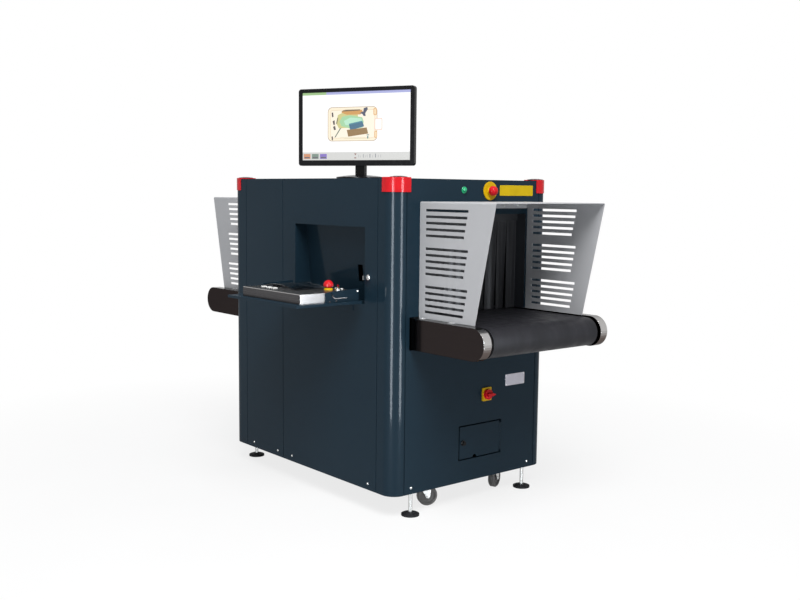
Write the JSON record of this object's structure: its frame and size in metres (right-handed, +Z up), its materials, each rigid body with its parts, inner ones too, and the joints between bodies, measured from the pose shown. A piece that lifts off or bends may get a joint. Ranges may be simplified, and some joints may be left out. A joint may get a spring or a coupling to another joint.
{
  "type": "baggage x-ray scanner",
  "caption": "Floor-standing conveyor x-ray scanner for bags, with slotted hoods at both ends, a fold-up keyboard shelf, a monitor on top, levelling feet and swivel casters.",
  "frame": {"origin": "centre of the overall box at floor level", "axes": "+X along the conveyor towards the exit end, -Y towards the operator's side, +Z up"},
  "size_m": [1.767, 1.046, 1.4937],
  "materials": {
    "cabinet_paint": "glossy slate blue powder coat",
    "hood_paint": "light grey powder coat",
    "tunnel_paint": "dark satin paint",
    "stainless": "brushed stainless",
    "zinc": "zinc plated",
    "chrome": "polished",
    "belt_rubber": "matt black belt",
    "curtain_rubber": "dark lead rubber",
    "pad_rubber": "moulded black rubber",
    "red_plastic": "glossy red",
    "yellow_plastic": "glossy yellow",
    "lamp_green": "translucent green",
    "black_plastic": "black",
    "white_plastic": "white",
    "clear_plastic": "clear acrylic",
    "screen_glass": "lit screen",
    "nylon": "white nylon"
  },
  "bodies": {
    "cabinet": {"base_pan": "cabinet_paint", "inner_frame": "cabinet_paint", "corner_columns": "cabinet_paint", "front_service_panel": "cabinet_paint", "front_main_panel": "cabinet_paint", "rear_service_panel": "cabinet_paint", "rear_main_panel": "cabinet_paint", "entry_end_panel": "cabinet_paint", "exit_end_panel": "cabinet_paint", "roof_panel": "cabinet_paint", "corner_caps": "red_plastic", "cap_plugs": "black_plastic", "front_conveyor_rail": "stainless", "rear_conveyor_rail": "stainless", "conveyor_bed": "zinc", "conveyor_belt": "belt_rubber", "end_rollers": "zinc", "tunnel_liner": "tunnel_paint", "entry_curtain": "curtain_rubber", "exit_curtain": "curtain_rubber", "curtain_bars": "zinc", "entry_hood": "hood_paint", "exit_hood": "hood_paint", "console_recess": "cabinet_paint", "shelf_hinge": "cabinet_paint", "end_stop_collar": "yellow_plastic", "power_lamp": "lamp_green", "main_switch_plate": "yellow_plastic", "key_lock": "chrome", "hatch_box": "cabinet_paint", "foot_pads": "pad_rubber", "foot_studs": "zinc", "caster_plates": "zinc", "monitor_stand": "black_plastic"},
    "shelf": {"shelf_tray": "cabinet_paint", "keyboard_case": "stainless", "shelf_cheeks": "cabinet_paint", "keypad": "black_plastic", "white_keys": "white_plastic", "key_switch": "chrome", "dust_cover": "clear_plastic", "console_stop_collar": "yellow_plastic"},
    "console_stop": {"console_stop_button": "red_plastic"},
    "end_stop": {"end_stop_button": "red_plastic"},
    "main_switch": {"main_switch_handle": "red_plastic"},
    "hatch": {"hatch_door": "cabinet_paint", "hatch_knob": "black_plastic"},
    "monitor": {"monitor_housing": "black_plastic", "monitor_screen": "screen_glass"},
    "fork_front_exit": {"caster_fork_front_exit": "zinc"},
    "wheel_front_exit": {"caster_wheel_front_exit": "nylon"},
    "fork_rear_exit": {"caster_fork_rear_exit": "zinc"},
    "wheel_rear_exit": {"caster_wheel_rear_exit": "nylon"},
    "fork_front_entry": {"caster_fork_front_entry": "zinc"},
    "wheel_front_entry": {"caster_wheel_front_entry": "nylon"},
    "fork_rear_entry": {"caster_fork_rear_entry": "zinc"},
    "wheel_rear_entry": {"caster_wheel_rear_entry": "nylon"}
  },
  "joints": [
    {"name": "shelf_fold", "type": "hinge", "parent": "cabinet", "child": "shelf", "pos_m": [0.149, -0.247, 0.742], "axis": [-1, 0, 0], "range_deg": [0, 90]},
    {"name": "console_stop_push", "type": "slide", "parent": "shelf", "child": "console_stop", "axis": [0, 0, -1], "range_m": [0, 0.004]},
    {"name": "end_stop_push", "type": "slide", "parent": "cabinet", "child": "end_stop", "axis": [-1, 0, 0], "range_m": [0, 0.004]},
    {"name": "main_switch_turn", "type": "hinge", "parent": "cabinet", "child": "main_switch", "pos_m": [0.5289, 0.208, 0.3915], "axis": [1, 0, 0], "range_deg": [0, 90]},
    {"name": "hatch_swing", "type": "hinge", "parent": "cabinet", "child": "hatch", "pos_m": [0.521, 0.2845, 0.224], "axis": [0, 0, 1], "range_deg": [0, 105]},
    {"name": "monitor_tilt", "type": "hinge", "parent": "cabinet", "child": "monitor", "pos_m": [0.17824, -0.10648, 1.32], "axis": [-0.9003, -0.4352, 0], "range_deg": [-5, 20]},
    {"name": "swivel_front_exit", "type": "hinge", "parent": "cabinet", "child": "fork_front_exit", "pos_m": [0.452, -0.0355, 0.09], "axis": [0, 0, 1], "continuous": true},
    {"name": "roll_front_exit", "type": "hinge", "parent": "fork_front_exit", "child": "wheel_front_exit", "pos_m": [0.45961, -0.01919, 0.0385], "axis": [-0.9063, 0.4226, 0], "continuous": true},
    {"name": "swivel_rear_exit", "type": "hinge", "parent": "cabinet", "child": "fork_rear_exit", "pos_m": [0.452, 0.3205, 0.09], "axis": [0, 0, 1], "continuous": true},
    {"name": "roll_rear_exit", "type": "hinge", "parent": "fork_rear_exit", "child": "wheel_rear_exit", "pos_m": [0.44526, 0.33719, 0.0385], "axis": [-0.9272, -0.3746, 0], "continuous": true},
    {"name": "swivel_front_entry", "type": "hinge", "parent": "cabinet", "child": "fork_front_entry", "pos_m": [-0.452, -0.0355, 0.09], "axis": [0, 0, 1], "continuous": true},
    {"name": "roll_front_entry", "type": "hinge", "parent": "fork_front_entry", "child": "wheel_front_entry", "pos_m": [-0.44734, -0.01811, 0.0385], "axis": [-0.9659, 0.2588, 0], "continuous": true},
    {"name": "swivel_rear_entry", "type": "hinge", "parent": "cabinet", "child": "fork_rear_entry", "pos_m": [-0.452, 0.3205, 0.09], "axis": [0, 0, 1], "continuous": true},
    {"name": "roll_rear_entry", "type": "hinge", "parent": "fork_rear_entry", "child": "wheel_rear_entry", "pos_m": [-0.45666, 0.33789, 0.0385], "axis": [-0.9659, -0.2588, 0], "continuous": true}
  ]
}
